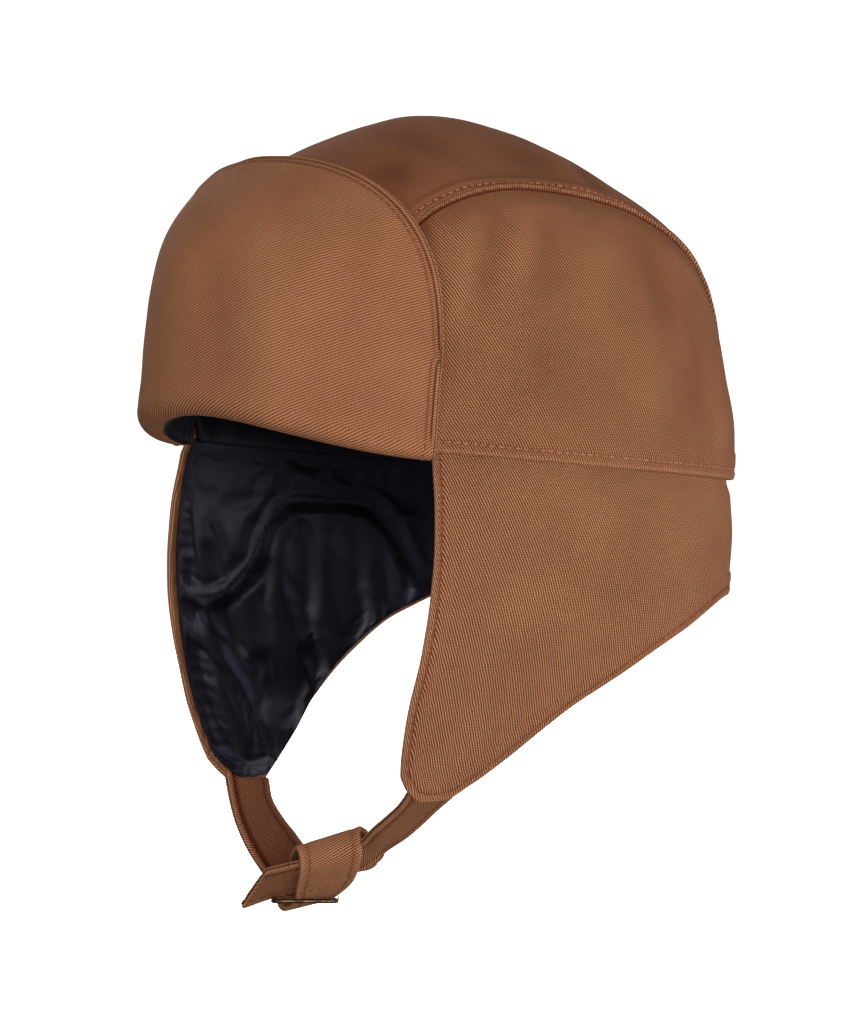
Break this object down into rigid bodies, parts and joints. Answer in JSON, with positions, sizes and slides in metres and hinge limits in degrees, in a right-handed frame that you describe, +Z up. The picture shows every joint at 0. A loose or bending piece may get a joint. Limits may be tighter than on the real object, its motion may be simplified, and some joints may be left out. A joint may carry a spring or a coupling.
{
  "type": "trooper hat",
  "caption": "Winter hat with a turned-up front flap, hanging ear flaps joined by a neck piece, a quilted lining, and a chin strap fastened by a loop and a buckle.",
  "frame": {"origin": "where the top of the head bears on the crown lining, at the lining's highest inner point", "axes": "+Z up, the hat faces -Y, and the wearer's left is +X"},
  "size_m": [0.1774, 0.2193, 0.2752],
  "materials": {
    "twill": "coarse brown cotton twill, matt",
    "satin": "black quilted satin, soft sheen",
    "bronze": "dark bronze, satin"
  },
  "bodies": {
    "root": {"crown_strip": "twill", "crown_side_left": "twill", "crown_side_right": "twill", "front_flap": "twill", "ear_flaps": "twill", "crown_lining": "satin", "flap_lining": "satin", "strap_left": "twill", "strap_right": "twill", "strap_loop": "twill", "strap_buckle": "bronze"}
  },
  "joints": []
}
